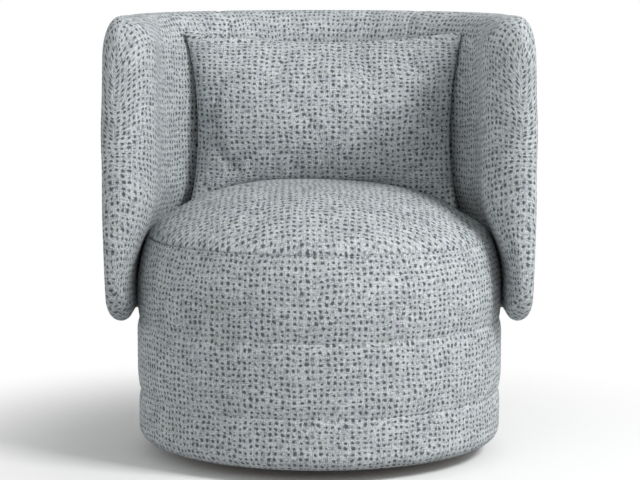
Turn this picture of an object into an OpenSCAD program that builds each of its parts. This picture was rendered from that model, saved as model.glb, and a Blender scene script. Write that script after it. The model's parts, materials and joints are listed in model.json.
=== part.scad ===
// Fully upholstered barrel chair that swivels on a ball race and rocks on a sprung cross shaft.
// The chair faces -Y. The floor is at z = 0. The swivel axis is parallel to Z and stands at axis_y,
// so that the middle of the whole chair is over the origin.

/* [Overall] */
// Height of the back's top edge above the floor
back_top_z = 813; // [770:1:860]
// Gap between the drum's underside and the floor
floor_gap = 22; // [21:0.5:25]

/* [Drum and bands] */
// Thickness of the padding and cover on the seat band and the middle band, where they bulge most
band_pad_t = 19; // [17:0.5:21]
// How much smaller the bottom band's radius is than the middle band's
bottom_band_in = 2.5; // [0:0.5:5]
// Height of the bottom band
bottom_band_h = 97; // [94:1:104]
// Height of the middle band
middle_band_h = 134; // [126:1:145]
// Height of the seat band, from the upper groove to the seat seam
seat_band_h = 150; // [142:1:156]
// How far a band's edges are drawn in from its bulge
band_draw = 4; // [2:0.5:6]
// How far the groove between two bands is tucked in behind the bands' edges
groove_tuck = 5; // [2:0.5:7]
// Height of the lip between a band's edge and the bottom of its groove
groove_lip = 1.4; // [0.8:0.1:2.5]
// Radius of the bottom band's lower edge
bottom_round = 28; // [24:1:32]
// How far the bottom cover is turned under, inwards from the lower edge
turn_under = 25; // [10:1:35]
// How far the seam between the seat top and the seat band is drawn in from the band's bulge
seam_draw = 21; // [17:0.5:23]
// Height of the shoulder over which the seat band draws in to the seam
shoulder_h = 103; // [80:1:115]
// Height of the seat's crown above its seam
seat_crown = 94; // [70:1:100]
// Thickness of the upholstery cloth with its backing
cover_t = 2; // [1:0.25:2.5]

/* [Drum frame] */
// Outer radius of the plywood rings and the bent walls
frame_r = 322; // [314:1:330]
// Thickness of the plywood rings and the mount board
ply_t = 18; // [15:1:20]
// Width of the plywood rings
ring_w = 60; // [50:1:72]
// Thickness of the bent walls
wall_t = 3; // [2:0.5:5]
// Height of the bottom ring's underside above the drum's underside
bottom_ring_lift = 8; // [7:0.5:10]
// Height of the mid ring's underside above the upper groove
mid_ring_lift = 5; // [4:0.5:8]
// Height of the seat seam above the top ring's upper face
seam_over_ring = 31; // [26:1:36]
// Number of posts between two rings
post_count = 8; // [6:1:12]
// Width of a post, along the ring
post_w = 44; // [30:1:60]
// Depth of a post, across the ring
post_d = 32; // [24:1:40]
// Radius of the access hole in the middle of the mount board
access_r = 30; // [20:1:34]

/* [Seat deck] */
// Number of webbing straps each way
strap_count = 5; // [3:1:7]
// Width of a webbing strap
strap_w = 50; // [30:1:60]
// Spacing of the webbing straps
strap_pitch = 96; // [64:1:100]
// Thickness of a webbing strap
strap_t = 2; // [1:0.25:3]
// How far a strap stays short of the ring's outer edge
strap_short = 17; // [8:1:30]
// How far the seat foam stays short of the seat's seam
seat_foam_short = 4; // [3:0.5:10]

/* [Back shell] */
// How far the padded back's inside face is drawn in over the seat from the bands' bulge
back_draw = 44; // [36:1:51]
// Gap between the drum's bands and the foot of the padded back
back_foot_gap = 1; // [0.5:0.1:2]
// How far the wings' noses reach ahead of the swivel axis
wing_reach = 165; // [130:1:190]
// How far in from the outside the tips of the wings' noses lie
nose_tip_in = 32; // [22:1:45]
// Length over which a wing's inside rounds off to its nose
nose_in_len = 95; // [60:1:110]
// Length over which a wing's outside rounds off to its nose
nose_out_len = 40; // [25:1:60]
// Height of the rolled top edge
top_roll_h = 60; // [45:1:75]
// Height of the rolled bottom edge
bottom_roll_h = 26; // [18:1:34]
// Radius of a wing's upper front corner, seen from the side
top_corner_r = 58; // [45:1:75]
// Radius of a wing's lower front corner, seen from the side
bottom_corner_r = 88; // [60:1:110]
// How much narrower the outside is at its foot than at its waist
barrel_sag = 7; // [3:0.5:9]
// Height of the waist, where the outside is widest, above the back's lower edge
waist_h = 290; // [240:1:330]
// Height above the back's lower edge where the inside face starts to draw in over the seat
lean_low = 77; // [60:1:90]
// Height above the back's lower edge where the inside face is fully drawn in
lean_high = 247; // [235:1:270]
// Angle from the middle of the back to the seams between its panels
panel_angle = 31; // [25:1:37]
// Distance of the bent back board from the bands' bulge
board_off = 17; // [15:0.5:19]
// Thickness of the bent back board
board_t = 12; // [9:0.5:13]
// Padding outside the board, where the outside is widest
back_pad_t = 24.5; // [18:0.5:30]
// Padding above the board's top edge
board_cap = 48; // [40:1:70]
// How far the board's straight ends reach ahead of the swivel axis
board_reach = 88; // [40:1:100]
// Angle from the middle of the back to the ends of the shelves
shelf_angle = 82; // [76:1:86]
// Angle that the board's end screws keep from the ends of the shelves
screw_end_angle = 7; // [5:1:14]
// How far the lower shelf reaches out beyond the board
shelf_over = 3; // [1:0.5:4]
// Number of screws that fasten the board's foot, and its side
board_screws = 7; // [5:1:9]
// Radius of those screws
screw_r = 2.5; // [2:0.25:3.5]
// Radius of their heads
screw_head_r = 5; // [4:0.25:5.5]
// Height of their heads
screw_head_h = 3; // [2:0.25:4]
// How far those screws bite into the second piece
screw_bite = 24; // [15:1:30]

/* [Back pillow] */
// How much the pillow stays inside the padded back at each side
pillow_side_room = 35; // [31:1:50]
// Height of the pillow's top corners below the back's top edge
pillow_top_drop = 39; // [25:1:60]
// Height of the pillow at its sides, corner to corner
pillow_h = 326; // [280:1:332]
// How far the sides are drawn in between the corners
pillow_side_in = 28; // [15:1:35]
// How far the top edge is drawn in between the corners
pillow_top_in = 16; // [5:1:25]
// How far the pillow bulges forwards
pillow_front = 75; // [60:1:90]
// How much further back the rim lies at the pillow's middle than at its corners
pillow_bow = 40; // [20:1:50]
// How much further back the rim lies halfway up the pillow's sides than at their corners
pillow_side_back = 24; // [0:1:30]
// Gap between the pillow's back and the padded back that it leans on
pillow_rest = 1; // [0.5:0.1:3]
// Room between the pillow's upper corners and the padded back
pillow_corner_room = 11; // [8:0.5:20]
// How much further back the rim's top edge lies than half height
pillow_lean = 9; // [4:1:11]
// Gap between the pillow's lower edge and the seat
pillow_gap = 0.8; // [0.5:0.05:1.2]

/* [Base] */
// Radius of the base ring, to the middle of its tube
base_r = 215; // [190:1:222]
// Radius of the base ring's tube
tube_r = 11; // [9:0.5:12]
// Thickness of the floor glides under the tube
glide_t = 6; // [4:0.5:7]
// Height of the glides' rims round the tube
glide_rim = 4; // [2:0.5:6]
// Radius of a floor glide
glide_r = 16; // [13:0.5:18]
// Number of floor glides
glide_count = 6; // [4:1:8]
// Width of the cross's flat bars
bar_w = 40; // [30:1:50]
// Thickness of the cross's flat bars
bar_t = 8; // [6:0.5:9]
// Radius of the hub plate
hub_r = 90; // [86:1:100]
// Thickness of the hub plate, the turntable plate and the rocker plate
plate_t = 5; // [4:0.5:6]

/* [Ball race] */
// Radius of the race, to the middle of the balls
race_r = 71; // [64:1:74]
// Width of the race's rings
race_w = 20; // [16:0.5:22]
// Thickness of each of the race's rings
race_t = 6; // [5:0.25:7]
// Radius of a ball
ball_r = 5; // [4:0.25:5.5]
// Running clearance round the balls
ball_clearance = 0.05; // [0.03:0.01:0.08]
// Gap between the race's two rings
race_gap = 5; // [4:0.25:6]
// Number of balls
ball_count = 24; // [16:1:30]
// Thickness of the ball cage
cage_t = 2; // [1:0.25:3]

/* [Turntable and rocker] */
// Radius of the swivel bolt
bolt_r = 8; // [6:0.5:9]
// How far the swivel bolt stands out of its nut
bolt_over = 1.5; // [0.5:0.25:2]
// Running clearance of the turntable round the swivel bolt, and of the bushes round the shaft
running_clearance = 0.05; // [0.02:0.01:0.08]
// Width of the turntable plate
turntable_w = 214; // [208:1:222]
// Depth of the turntable plate
turntable_d = 220; // [214:1:228]
// Height of the rock axis above the turntable plate
shaft_h = 22.5; // [20:0.5:26]
// Radius of the cross shaft
shaft_r = 7; // [6:0.25:8]
// Distance of the turntable's ears from the middle, to their inner faces
ear_x = 92; // [88:0.5:94]
// Thickness of the ears
ear_t = 6; // [5:0.5:7]
// Radius of the ears round the shaft
ear_r = 14; // [13:0.5:16]
// Gap between a turntable ear and the rocker ear beside it
ear_gap = 4; // [3:0.5:5]
// Width of the ears where they leave their plate
ear_root_w = 60; // [40:1:80]
// Wall of the nylon bushes
bush_wall = 3; // [2:0.25:4]
// How far the cross shaft stands out beyond the rocker's ears
shaft_over = 7; // [5:0.5:10]
// Thickness of the shaft clips
clip_t = 1.5; // [1:0.1:2.5]
// Width of the shaft clips
clip_w = 4; // [2.5:0.25:5]
// Clear height between the turntable plate and the rocker plate
spring_room = 51.5; // [48:0.5:56]
// Width of the rocker plate
rocker_w = 262; // [256:1:270]
// Depth of the rocker plate
rocker_d = 240; // [232:1:260]
// How far the springs stand to each side of the middle
spring_x = 58; // [50:0.5:62]
// How far the springs stand ahead of the rock axis and behind it
spring_y = 74; // [64:0.5:80]
// Radius of a spring, to the middle of its wire
coil_r = 15; // [13:0.5:17]
// Radius of the spring wire
wire_r = 2; // [1.5:0.1:2.5]
// Number of curls of a spring
coil_turns = 5; // [4:1:6]
// Thickness of the spring seats
seat_cup_t = 3; // [2:0.25:4]
// Radius of the spring seats
seat_cup_r = 21; // [20:0.5:23]
// Height of the boss that keeps a spring on its seat
seat_boss_h = 8; // [4:0.5:10]
// Rocking angle each way
rock_angle = 3.3; // [2:0.1:3.3]
// Radius of a rubber buffer
buffer_r = 10; // [8:0.5:12]
// Distance of the buffers ahead of the rock axis and behind it
buffer_y = 96; // [92:0.5:98]
// How far the buffers stand to each side of the middle
buffer_x = 24; // [14:0.5:26]
// Gap that is left above a buffer when the chair is rocked all the way
buffer_gap = 0.3; // [0.2:0.05:1]

/* [Fasteners] */
// Radius of the mount bolts
mount_bolt_r = 4; // [3:0.25:5]
// How far the mount bolts stand to each side of the middle
mount_bolt_x = 117; // [115:0.5:119]
// How far the mount bolts stand ahead of the rock axis and behind it
mount_bolt_y = 104; // [96:0.5:108]
// Wall of the T-nuts' barrels
tnut_wall = 1.5; // [1:0.25:2.5]
// Thickness of the T-nuts' flanges
tnut_t = 2; // [1:0.25:3]
// Radius of the T-nuts' flanges
tnut_r = 11; // [9:0.5:13]
// Thickness of the washer on the swivel bolt
washer_t = 3; // [2:0.25:4]

/* [Hidden] */

$fn = 96;
// Overrun of a cutting shape past the face that it cuts
cut = 1;
// Clearance of the padding round the plywood inside it
pad_fit = 0.2;
// Gap between the swivel nut's washer and the turntable
washer_play = 0.2;

// Radii of the drum, its seat and the back, from the frame outwards
drum_r = frame_r + band_pad_t;
bottom_band_r = drum_r - bottom_band_in;
seam_r = drum_r - seam_draw;
seat_foam_r = seam_r - seat_foam_short;
back_in_r = drum_r - back_draw;
board_in_r = drum_r + board_off;
shell_out_r = board_in_r + board_t + back_pad_t;

// Place of the swivel axis, which centres the whole chair on the origin
axis_y = -(shell_out_r - drum_r) / 2;

// Heights of the drum
drum_z = floor_gap;
groove_2_z = drum_z + bottom_band_h;
groove_1_z = groove_2_z + middle_band_h;
seam_z = groove_1_z + seat_band_h;

// Heights of the mechanism
tube_z = glide_t + tube_r;
hub_z = tube_z + tube_r;
race_z = hub_z + plate_t;
ball_z = race_z + race_t + race_gap / 2;
upper_race_z = race_z + race_t + race_gap;
turntable_z = upper_race_z + race_t;
turntable_top = turntable_z + plate_t;
shaft_z = turntable_top + shaft_h;
rocker_z = turntable_top + spring_room;
mount_z = rocker_z + plate_t;
bolt_head_h = bolt_r * 0.8;
bolt_head_r = bolt_r * 1.7;
washer_r = bolt_r * 1.9;
washer_z = turntable_top + washer_play;
nut_z = washer_z + washer_t;
bolt_end_z = nut_z + bolt_head_h + bolt_over;
rocker_ear_x = ear_x + ear_t + ear_gap;
bush_r = shaft_r + running_clearance + bush_wall;
bush_flange_r = bush_r + bush_wall;
clip_play = running_clearance;
shaft_len = 2 * (rocker_ear_x + ear_t + shaft_over);
buffer_h = spring_room - (buffer_y + buffer_r) * tan(rock_angle) - buffer_gap;
mount_head_r = mount_bolt_r * 1.8;
mount_head_h = mount_bolt_r * 1.3;
tnut_barrel_r = mount_bolt_r + tnut_wall;
tnut_len = ply_t * 2 / 3;

// Heights of the drum frame
bottom_ring_z = drum_z + bottom_ring_lift;
mid_ring_z = groove_1_z + mid_ring_lift;
top_ring_z = seam_z - seam_over_ring - ply_t;
deck_z = top_ring_z + ply_t;
foam_z = deck_z + 2 * strap_t;
post_r = frame_r - wall_t - post_d / 2;
strap_reach = frame_r - strap_short;
lower_shelf_r = board_in_r + board_t + shelf_over;
foot_screw_r = board_in_r + board_t / 2;

// Heights and radii of the back
back_z = groove_1_z;
waist_z = back_z + waist_h;
back_foot_r = drum_r + back_foot_gap;
board_top_z = back_top_z - board_cap;

// Counts and steps of the curved outlines and forms
band_steps = 14;
band_power = 4;
shoulder_power = 2.2;
dome_steps = 24;
dome_power = 3.1;
dome_edge_power = 0.8;
arc_steps = 8;
coil_rings = 8;
coil_sides = 6;
roll_angles = [0, 18, 36, 54, 72, 90];
mid_levels = 9;
pillow_cols = 26;
pillow_rows = 20;
pillow_power = 0.55;

// Outline of a band's outer face, from bottom to top, as [radius, height]
function band_bulge(r, z0, z1) = [
    for (i = [0:band_steps])
        let (u = 2 * i / band_steps - 1)
        [r - band_draw * pow(abs(u), band_power), z0 + (z1 - z0) * i / band_steps]
];

// Radius of the seat band at height z: full up to its shoulder, then drawn in to the seam
function shoulder_r(z) =
    let (u = max(0, (z - seam_z + shoulder_h) / shoulder_h))
    drum_r - (drum_r - seam_r) * pow(u, shoulder_power);

// Radius of the seat band near the upper groove: drawn in like the other bands' edges
function seat_band_r(z) =
    let (u = max(0, 1 - (z - groove_1_z - groove_lip) / (shoulder_h / 4)))
    shoulder_r(z) - band_draw * pow(u, band_power);

// Height of the seat's dome at radius r
function dome_z(r) =
    seam_z + seat_crown * pow(max(0, 1 - pow(r / seam_r, dome_power)), dome_edge_power);

// Outline of the dome from the seam to the middle, inset by the cover's thickness
function dome_outline(inset) = [
    for (i = [0:dome_steps])
        let (r = seam_r * cos(90 * i / dome_steps))
        [max(0, r - inset * r / seam_r), dome_z(r) - inset * (1 - 0.5 * r / seam_r)]
];

// Outer face of the three bands, from bottom to top, inset by the cover's thickness
function bottom_outline(inset) = concat(
    [
        for (i = [0:arc_steps])
            let (a = -90 + 90 * i / arc_steps)
            [
                bottom_band_r - bottom_round + (bottom_round - inset) * cos(a),
                drum_z + bottom_round + (bottom_round - inset) * sin(a)
            ]
    ],
    [
        for (i = [1:band_steps])
            let (u = i / band_steps)
            [
                bottom_band_r - inset - band_draw / 2 * pow(u, band_power),
                drum_z + bottom_round + (groove_2_z - groove_lip - drum_z - bottom_round) * u
            ]
    ],
    [[bottom_band_r - band_draw / 2 - groove_tuck - inset, groove_2_z]]
);
function middle_outline(inset) = concat(
    [[drum_r - band_draw - groove_tuck - inset, groove_2_z]],
    [for (p = band_bulge(drum_r, groove_2_z + groove_lip, groove_1_z - groove_lip)) [p[0] - inset, p[1]]],
    [[drum_r - band_draw - groove_tuck - inset, groove_1_z]]
);
function seat_outline(inset) = concat(
    [[drum_r - band_draw - groove_tuck - inset, groove_1_z]],
    [
        for (i = [0:2 * band_steps])
            let (u = i / (2 * band_steps))
            let (z = groove_1_z + groove_lip + (seam_z - groove_1_z - groove_lip) * u)
            [seat_band_r(z) - inset, z - inset * max(0, 2 * u - 1)]
    ]
);

// Reverses a list
function backwards(list) = [for (i = [len(list) - 1:-1:0]) list[i]];

// Radius of the outside at height z: widest at the waist
function shell_out(z) = shell_out_r - barrel_sag * pow((z - waist_z) / waist_h, 2);

// Radius of the inside at height z: beside the drum below, drawn in over the seat above
function shell_in(z) =
    let (u = min(1, max(0, (z - back_z - lean_low) / (lean_high - lean_low))))
    back_foot_r - (back_foot_r - back_in_r) * (1 - cos(180 * u)) / 2;

// Section of the back as pairs [height, fullness], from the lower edge to the upper one
function shell_levels(z0, z1) = concat(
    [for (a = backwards(roll_angles)) [z0 + bottom_roll_h * (1 - sin(a)), cos(a)]],
    [
        for (i = [1:mid_levels - 1])
            [z0 + bottom_roll_h + (z1 - top_roll_h - z0 - bottom_roll_h) * i / mid_levels, 1]
    ],
    [for (a = roll_angles) [z1 - top_roll_h * (1 - sin(a)), cos(a)]]
);
level_count = len(shell_levels(0, 1));
loop_count = 2 * level_count - 2;

// One closed loop of [radius, height] round a section: up the outside and down the inside. Each side keeps
// its share of the distance from the crest, which moves from the middle to the nose's tip as lean grows.
function shell_loop(z0, z1, in_full, out_full, lean) =
    let (levels = shell_levels(z0, z1))
    [
        for (j = [0:loop_count - 1])
            let (outside = j < level_count)
            let (level = levels[outside ? j : loop_count - j])
            let (z = level[0])
            let (middle = (shell_out(z) + shell_in(z)) / 2)
            let (crest = middle + lean * (max(middle, shell_out(z) - nose_tip_in) - middle))
            let (face = outside ? shell_out(z) : shell_in(z))
            [crest + (face - crest) * level[1] * (outside ? out_full : in_full), z]
    ];

// Drop of a rounded corner of radius r at distance s along the wing
function corner_drop(s, r) =
    let (u = max(0, (s - wing_reach + r) / r))
    r * (1 - sqrt(max(0, 1 - u * u)));

// Share of the thickness left at distance s along the wing, where a side rounds off over length r
function rounding(s, r) =
    let (u = max(0, (s - wing_reach + r) / r))
    sqrt(max(0, 1 - u * u));

straight_stations = 3;
nose_angles = [14, 28, 42, 54, 65, 75, 82];
nose_start = wing_reach - nose_in_len;
back_section = shell_loop(back_z, back_top_z, 1, 1, 0);

// Loops of a wing's front on the +X side, from beside the swivel axis to its nose
function front_loops() = concat(
    [for (i = [0:straight_stations]) wing_loop(nose_start * i / straight_stations)],
    [for (a = nose_angles) wing_loop(nose_start + nose_in_len * sin(a))]
);
function wing_loop(s) =
    let (u = min(1, s / nose_start))
    let (loop = shell_loop(
        back_z + corner_drop(s, bottom_corner_r),
        back_top_z - corner_drop(s, top_corner_r),
        rounding(s, nose_in_len),
        rounding(s, nose_out_len),
        u * u * (3 - 2 * u)
    ))
    [for (p = loop) [p[0], -s, p[1]]];

// Index of the inside point at the same level as outside point k
function inner_index(k) = k == 0 ? 0 : loop_count - k;

// Triangles that close the first loop of a sweep, or the last one when turned
function cap_faces(first, turned) = [
    for (k = [0:level_count - 2])
        for (t = [
            [k, k + 1, inner_index(k + 1)],
            [k, inner_index(k + 1), inner_index(k)]
        ])
            if (t[0] != t[1] && t[1] != t[2] && t[0] != t[2])
                [for (v = turned ? backwards(t) : t) first + v]
];

// A closed solid through a list of equal loops
module swept_panel(loops) {
    rows = len(loops);
    polyhedron(
        points = [for (loop = loops) for (p = loop) p],
        faces = concat(
            [
                for (i = [0:rows - 2])
                    for (j = [0:loop_count - 1])
                        let (a = i * loop_count + j)
                        let (b = i * loop_count + (j + 1) % loop_count)
                        for (t = [[a, a + loop_count, b + loop_count], [a, b + loop_count, b]]) t
            ],
            cap_faces(0, false),
            cap_faces((rows - 1) * loop_count, true)
        ),
        convexity = 6
    );
}

// Pillow

// Place of the pillow: its corners stay clear of the padded back, and its back leans on it
pillow_w = 2 * (back_in_r - pillow_side_room);
pillow_corner_y = sqrt(pow(back_in_r, 2) - pow(pillow_w / 2, 2));
pillow_rim_y = pillow_corner_y - pillow_lean - pillow_corner_room;
pillow_rear = back_in_r - pillow_rest - pillow_bow - pillow_rim_y;
function pillow_rim(u) = pillow_rim_y + pillow_bow * (1 - u * u);

// Height of the pillow's upper and lower edges at share u of its half width
pillow_top_z = back_top_z - pillow_top_drop;
function seat_under(x, y) = dome_z(min(seam_r, norm([x, y]))) + pillow_gap;
function pillow_upper(u) = pillow_top_z - pillow_top_in * (1 - u * u);
function pillow_lower(u) =
    seat_under(u * pillow_w / 2, pillow_rim(u) - pillow_lean)
    + (pillow_top_z - pillow_h - seat_under(pillow_w / 2, pillow_rim_y - pillow_lean)) * pow(u, 4);

// A point of the pillow at shares u and v of its half width and half height, on side -1 or 1.
// Where the pillow would sink into the seat, it lies on the seat instead.
function pillow_point(u, v, side) =
    let (bulge = pow(max(0, (1 - u * u) * (1 - v * v)), pillow_power))
    let (x = u * (pillow_w / 2 - pillow_side_in * (1 - v * v)))
    let (rim_y = pillow_rim(u) + pillow_side_back * pow(u, 4) * (1 - v * v) + pillow_lean * v)
    let (y = rim_y + (side < 0 ? -pillow_front : pillow_rear) * bulge)
    let (z = (pillow_upper(u) + pillow_lower(u)) / 2 + v * (pillow_upper(u) - pillow_lower(u)) / 2)
    [x, y, max(z, seat_under(x, y))];
function pillow_u(i) = -cos(180 * i / pillow_cols);
function pillow_v(j) = -cos(180 * j / pillow_rows);

// Point number of place [i, j] on the pillow's front, and on its rear, which share the rim
function inside_grid(i, j) = i > 0 && i < pillow_cols && j > 0 && j < pillow_rows;
function front_index(i, j) = i * (pillow_rows + 1) + j;
function rear_index(i, j) =
    inside_grid(i, j)
        ? (pillow_cols + 1) * (pillow_rows + 1) + (i - 1) * (pillow_rows - 1) + j - 1
        : front_index(i, j);

// The two triangles of a cell, split along the line that runs towards the pillow's middle
function cell_triangles(i, j) =
    let (corners = [[i, j], [i, j + 1], [i + 1, j + 1], [i + 1, j]])
    let (k = (i < pillow_cols / 2) == (j < pillow_rows / 2) ? 0 : 1)
    [
        [corners[k], corners[k + 1], corners[k + 2]],
        [corners[k], corners[k + 2], corners[(k + 3) % 4]]
    ];

module pillow_form() {
    polyhedron(
        points = concat(
            [for (i = [0:pillow_cols]) for (j = [0:pillow_rows]) pillow_point(pillow_u(i), pillow_v(j), -1)],
            [
                for (i = [1:pillow_cols - 1])
                    for (j = [1:pillow_rows - 1])
                        pillow_point(pillow_u(i), pillow_v(j), 1)
            ]
        ),
        faces = [
            for (i = [0:pillow_cols - 1])
                for (j = [0:pillow_rows - 1])
                    for (t = cell_triangles(i, j))
                        for (face = [
                            [for (c = t) front_index(c[0], c[1])],
                            [for (c = backwards(t)) rear_index(c[0], c[1])]
                        ])
                            face
        ],
        convexity = 4
    );
}

// Springs

spring_z = turntable_top + seat_cup_t;
spring_len = spring_room - 2 * seat_cup_t;
coil_pitch = (spring_len - 2 * wire_r) / coil_turns;
coil_path = [
    for (i = [0:coil_rings * coil_turns])
        let (a = 360 * i / coil_rings)
        [coil_r * cos(a), coil_r * sin(a), spring_z + wire_r + coil_pitch * i / coil_rings]
];
coil_gap = min([
    for (i = [0:len(coil_path) - 1])
        for (j = [i + coil_rings / 2:len(coil_path) - 1])
            norm(coil_path[i] - coil_path[j]) - 2 * wire_r
]);
echo(spring_least_gap_mm = coil_gap);

// One coil spring: a round wire swept along a helix
module coil_spring() {
    rings = len(coil_path);
    polyhedron(
        points = [
            for (i = [0:rings - 1])
                let (a = 360 * i / coil_rings)
                for (k = [0:coil_sides - 1])
                    let (b = 360 * k / coil_sides)
                    let (r = coil_r + wire_r * cos(b))
                    [r * cos(a), r * sin(a), coil_path[i][2] + wire_r * sin(b)]
        ],
        faces = concat(
            [
                for (i = [0:rings - 2])
                    for (k = [0:coil_sides - 1])
                        let (p = i * coil_sides + k)
                        let (q = i * coil_sides + (k + 1) % coil_sides)
                        for (t = [[p, q, q + coil_sides], [p, q + coil_sides, p + coil_sides]]) t
            ],
            [for (k = [1:coil_sides - 2]) [0, k + 1, k]],
            [
                for (k = [1:coil_sides - 2])
                    let (e = (rings - 1) * coil_sides)
                    [e, e + k, e + k + 1]
            ]
        ),
        convexity = 10
    );
}

// Shared shapes

module on_axis() {
    translate([0, axis_y, 0]) children();
}

// Flat ring from radius r0 to r1, from height z0 to z1
module flat_ring(r0, r1, z0, z1) {
    translate([0, 0, z0])
        difference() {
            cylinder(r = r1, h = z1 - z0, $fn = 180);
            translate([0, 0, -cut]) cylinder(r = r0, h = z1 - z0 + 2 * cut, $fn = 180);
        }
}

// Stretch of a flat ring round the back, to the given angle on both sides
module back_arc(r0, r1, z0, z1, angle) {
    rotate([0, 0, 90 - angle])
        rotate_extrude(angle = 2 * angle, $fn = 180)
            translate([r0, z0]) square([r1 - r0, z1 - z0]);
}

// The two shelves of the back, which the bands leave free
module shelves() {
    back_arc(frame_r - cut, lower_shelf_r, mid_ring_z, mid_ring_z + ply_t, shelf_angle);
    back_arc(frame_r - cut, board_in_r, top_ring_z, deck_z, shelf_angle);
}

// The bent board: round the back and straight along the wings, with a clearance round it
module bent_board(fit) {
    r0 = board_in_r - fit;
    r1 = board_in_r + board_t + fit;
    z0 = mid_ring_z + ply_t - fit;
    z1 = board_top_z + fit;
    back_arc(r0, r1, z0, z1, 90);
    for (side = [0, 1])
        mirror([side, 0, 0])
            translate([r0, -board_reach - fit, z0])
                cube([r1 - r0, board_reach + fit, z1 - z0]);
}

// What the padding leaves free: the board, the shelves and the space between them
module pad_space() {
    angle = shelf_angle + atan(pad_fit / board_in_r);
    back_arc(frame_r - cut, board_in_r + pad_fit, mid_ring_z - pad_fit, deck_z + pad_fit, angle);
    back_arc(board_in_r, lower_shelf_r + pad_fit, mid_ring_z - pad_fit, mid_ring_z + ply_t + pad_fit, angle);
    bent_board(pad_fit);
}

// The drum's posts between two rings
module posts(z0, z1) {
    for (i = [0:post_count - 1])
        rotate([0, 0, 360 * (i + 0.5) / post_count])
            translate([post_r - post_d / 2 - cut, -post_w / 2, z0])
                cube([post_d, post_w, z1 - z0]);
}

module four_corners(x, y) {
    for (sx = [-1, 1])
        for (sy = [-1, 1])
            translate([sx * x, sy * y, 0]) children();
}

// A plate's ear with its bore, standing at x, from root height to the shaft
module ear(x, root_z, bore_r) {
    translate([x, 0, 0])
        rotate([90, 0, 90])
            linear_extrude(ear_t)
                difference() {
                    union() {
                        translate([0, shaft_z]) circle(r = ear_r);
                        polygon([
                            [-ear_root_w / 2, root_z],
                            [ear_root_w / 2, root_z],
                            [ear_r, shaft_z],
                            [-ear_r, shaft_z]
                        ]);
                    }
                    translate([0, shaft_z]) circle(r = bore_r);
                }
}

// A round bar or ring along X from x0 to x1, on the rock axis
module on_shaft(x0, x1, r, bore) {
    translate([x0, 0, shaft_z])
        rotate([0, 90, 0])
            difference() {
                cylinder(r = r, h = x1 - x0);
                if (bore > 0)
                    translate([0, 0, -cut]) cylinder(r = bore, h = x1 - x0 + 2 * cut);
            }
}

module hexagon(r, z0, z1) {
    translate([0, 0, z0]) cylinder(r = r, h = z1 - z0, $fn = 6);
}

module base_torus() {
    translate([0, 0, tube_z])
        rotate_extrude($fn = 180)
            translate([base_r, 0]) circle(r = tube_r, $fn = 48);
}

// Groove that the balls run in
module ball_groove() {
    translate([0, 0, ball_z])
        rotate_extrude($fn = 180)
            translate([race_r, 0]) circle(r = ball_r + ball_clearance, $fn = 48);
}

module at_balls() {
    for (i = [0:ball_count - 1])
        rotate([0, 0, 360 * i / ball_count]) translate([race_r, 0, ball_z]) children();
}

// Screw places along the board, as angles from the middle of the back
module at_screws(r, z) {
    for (i = [0:board_screws - 1])
        rotate([0, 0, (shelf_angle - screw_end_angle) * (2 * i / (board_screws - 1) - 1)])
            translate([0, r, z])
                children();
}

module foot_screw(fit) {
    rise = ply_t + screw_bite;
    cylinder(r = screw_head_r + fit, h = screw_head_h, $fn = 32);
    cylinder(r = screw_r + fit, h = rise, $fn = 32);
}

module side_screw(fit) {
    rotate([90, 0, 0]) {
        cylinder(r = screw_head_r + fit, h = screw_head_h, $fn = 32);
        cylinder(r = screw_r + fit, h = board_t + screw_bite, $fn = 32);
    }
}

// Base

module floor_glides() {
    color("dimgray")
        on_axis()
            difference() {
                for (i = [0:glide_count - 1])
                    rotate([0, 0, 360 * i / glide_count])
                        translate([base_r, 0, 0])
                            cylinder(r = glide_r, h = glide_t + glide_rim);
                base_torus();
            }
}

module base_ring() {
    color("black") on_axis() base_torus();
}

module base_cross() {
    color("black")
        on_axis()
            difference() {
                for (a = [45, 135])
                    rotate([0, 0, a])
                        translate([-base_r, -bar_w / 2, hub_z - bar_t])
                            cube([2 * base_r, bar_w, bar_t]);
                base_torus();
                difference() {
                    translate([0, 0, hub_z - bar_t - cut]) cylinder(r = base_r + bar_w, h = bar_t + 2 * cut);
                    translate([0, 0, hub_z - bar_t - cut]) cylinder(r = base_r - cut, h = bar_t + 2 * cut);
                }
                translate([0, 0, hub_z - bar_t - cut]) cylinder(r = bolt_r, h = bar_t + 2 * cut);
            }
}

module hub_plate() {
    color("black") on_axis() flat_ring(bolt_r, hub_r, hub_z, hub_z + plate_t);
}

module race_ring(z) {
    on_axis()
        difference() {
            flat_ring(race_r - race_w / 2, race_r + race_w / 2, z, z + race_t);
            ball_groove();
        }
}

module lower_race() {
    color("silver") race_ring(race_z);
}

module swivel_bolt() {
    color("silver")
        on_axis() {
            hexagon(bolt_head_r, hub_z - bar_t - bolt_head_h, hub_z - bar_t);
            translate([0, 0, hub_z - bar_t]) cylinder(r = bolt_r, h = bolt_end_z - hub_z + bar_t);
        }
}

module swivel_washer() {
    color("silver") on_axis() flat_ring(bolt_r, washer_r, washer_z, nut_z);
}

module swivel_nut() {
    color("silver")
        on_axis()
            difference() {
                hexagon(bolt_head_r, nut_z, nut_z + bolt_head_h);
                translate([0, 0, nut_z - cut]) cylinder(r = bolt_r, h = bolt_head_h + 2 * cut);
            }
}

// Ball carrier

module race_balls() {
    color("silver") on_axis() at_balls() sphere(r = ball_r, $fn = 32);
}

module ball_cage() {
    color("gold")
        on_axis()
            difference() {
                flat_ring(race_r - race_w / 2, race_r + race_w / 2, ball_z - cage_t / 2, ball_z + cage_t / 2);
                at_balls()
                    translate([0, 0, -cage_t])
                        cylinder(r = ball_r + ball_clearance, h = 2 * cage_t, $fn = 32);
            }
}

// Turntable

module upper_race() {
    color("silver") race_ring(upper_race_z);
}

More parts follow.
